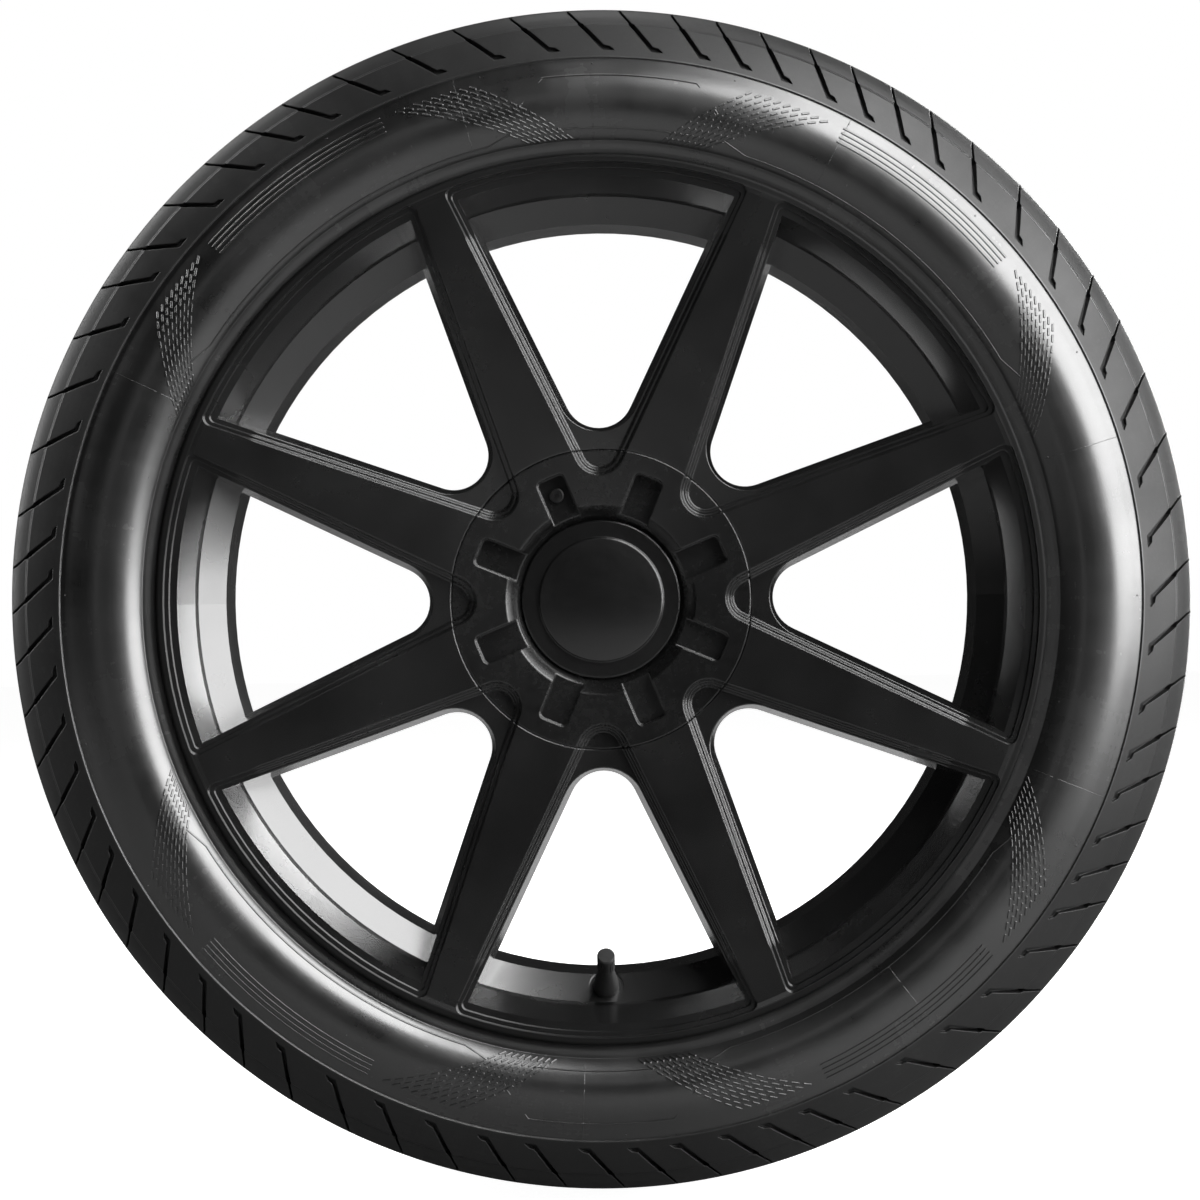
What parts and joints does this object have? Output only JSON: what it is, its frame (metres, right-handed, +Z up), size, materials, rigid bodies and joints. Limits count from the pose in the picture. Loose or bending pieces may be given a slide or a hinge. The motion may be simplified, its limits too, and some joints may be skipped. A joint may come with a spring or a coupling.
{
  "type": "car wheel and tyre",
  "caption": "Low-profile car tyre mounted on a satin black cast wheel with straight spokes, a centre cover and a rubber valve.",
  "frame": {"origin": "centre of the wheel on the axle, half way between the rim flanges", "axes": "+Y along the axle towards the vehicle, so the outer face looks towards -Y; +Z up, with the valve at the bottom"},
  "size_m": [0.781, 0.2754, 0.7809],
  "materials": {
    "tyre_rubber": "moulded rubber with a low sheen",
    "wheel_paint": "cast aluminium, satin black paint",
    "cover_plastic": "satin black plastic",
    "cap_plastic": "satin black plastic",
    "screw_steel": "black oxide steel",
    "stem_rubber": "moulded black rubber",
    "valve_brass": "turned brass",
    "core_steel": "drawn steel",
    "seal_rubber": "soft black rubber",
    "valve_cap_plastic": "moulded black plastic"
  },
  "bodies": {
    "wheel_and_tyre": {"tyre": "tyre_rubber", "wheel": "wheel_paint", "centre_cover": "cover_plastic", "centre_cap": "cap_plastic", "cover_screw": "screw_steel", "valve_stem": "stem_rubber", "valve_tube": "valve_brass", "valve_core_barrel": "valve_brass", "valve_core_spring": "core_steel"},
    "valve_pin": {"valve_core_pin": "core_steel", "valve_core_seal": "seal_rubber"},
    "valve_cap_lift": {"valve_cap_seal": "seal_rubber"},
    "valve_cap": {"valve_cap": "valve_cap_plastic"}
  },
  "joints": [
    {"name": "pin_press", "type": "slide", "parent": "wheel_and_tyre", "child": "valve_pin", "axis": [0, 0.8271, -0.5621], "range_m": [0, 0.0015], "stiffness_N_per_m": 700, "springref_m": -0.003, "deforming": ["valve_core_spring"]},
    {"name": "cap_lift", "type": "slide", "parent": "wheel_and_tyre", "child": "valve_cap_lift", "axis": [0, -0.8271, 0.5621], "range_m": [0, 0.00397]},
    {"name": "cap_turn", "type": "hinge", "parent": "valve_cap_lift", "child": "valve_cap", "pos_m": [0, -0.09426, -0.2505], "axis": [0, -0.8271, 0.5621], "range_deg": [0, 1800]}
  ],
  "couplings": [
    {"joint": "cap_turn", "follows": "cap_lift", "rad_per_m": 7913.3}
  ]
}
